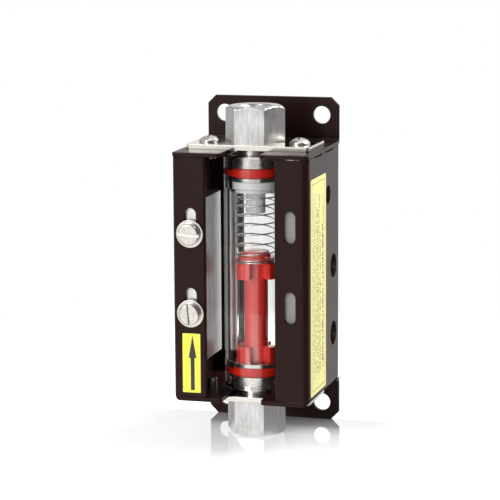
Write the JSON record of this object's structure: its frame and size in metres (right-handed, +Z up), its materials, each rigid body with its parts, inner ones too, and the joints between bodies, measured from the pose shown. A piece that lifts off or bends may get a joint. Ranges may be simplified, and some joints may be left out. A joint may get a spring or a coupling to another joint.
{
  "type": "water flow switch",
  "caption": "In-line piston flow switch: a clear tube with hexagon ports in a folded steel bracket, its reed switch case adjustable behind a slotted flange.",
  "frame": {"origin": "on the tube's axis, at the inlet port's end face, which is also the lowest level of the part", "axes": "+Z up along the flow, from the inlet port to the outlet port; -Y to the front, through the sight window; +Y to the back, where the fixing ears are; +X to the right seen from the front"},
  "size_m": [0.0501, 0.0501, 0.121],
  "materials": {
    "housing_paint": "dark brown semi-gloss enamel",
    "stainless_sheet": "bright rolled stainless with sheared edges",
    "turned_steel": "turned and milled stainless bar",
    "screw_plating": "bright zinc or nickel plate",
    "clear_acrylic": "polished clear tube",
    "red_silicone": "satin red silicone",
    "white_acetal": "milky white moulding",
    "spring_wire": "drawn stainless wire",
    "red_plastic": "glossy red moulding",
    "magnet_alloy": "dark sintered bar",
    "case_aluminium": "brushed natural aluminium",
    "reed_glass": "pale green glass",
    "reed_alloy": "plated nickel iron",
    "carrier_board": "green lacquered laminate",
    "bush_rubber": "black rubber",
    "blanking_grey": "matt grey strip",
    "arrow_yellow": "bright yellow film",
    "label_cream": "pale yellow film"
  },
  "bodies": {
    "root": {"body_shell": "housing_paint", "top_bracket": "housing_paint", "upper_retaining_plate": "stainless_sheet", "lower_retaining_plate": "stainless_sheet", "upper_retaining_screws": "screw_plating", "lower_retaining_screws": "screw_plating", "outlet_fitting": "turned_steel", "inlet_fitting": "turned_steel", "sight_tube": "clear_acrylic", "upper_o_ring": "red_silicone", "lower_o_ring": "red_silicone", "spring_stop": "white_acetal", "return_spring": "spring_wire", "slot_blanking_strip": "blanking_grey", "flow_arrow_label": "arrow_yellow", "rating_label": "label_cream"},
    "piston": {"flow_piston": "red_plastic", "piston_magnet": "magnet_alloy", "magnet_plug": "red_plastic"},
    "switch": {"switch_case": "case_aluminium", "switch_case_cover": "case_aluminium", "case_cover_screws": "screw_plating", "reed_glass": "reed_glass", "reed_blades": "reed_alloy", "reed_carrier": "carrier_board", "cable_bush": "bush_rubber", "upper_clamp_washer": "screw_plating", "lower_clamp_washer": "screw_plating"},
    "upper_clamp": {"upper_clamp_screw": "screw_plating"},
    "lower_clamp": {"lower_clamp_screw": "screw_plating"}
  },
  "joints": [
    {"name": "piston_slide", "type": "slide", "parent": "root", "child": "piston", "axis": [0, 0, 1], "range_m": [0, 0.0136], "stiffness_N_per_m": 50, "springref_m": -0.01, "deforming": ["return_spring"]},
    {"name": "switch_slide", "type": "slide", "parent": "root", "child": "switch", "axis": [0, 0, 1], "range_m": [0, 0.0069]},
    {"name": "upper_clamp_turn", "type": "hinge", "parent": "switch", "child": "upper_clamp", "pos_m": [-0.0182, -0.02215, 0.07615], "axis": [0, -1, 0], "range_deg": [0, 360]},
    {"name": "lower_clamp_turn", "type": "hinge", "parent": "switch", "child": "lower_clamp", "pos_m": [-0.0182, -0.02215, 0.04735], "axis": [0, -1, 0], "range_deg": [0, 360]}
  ]
}
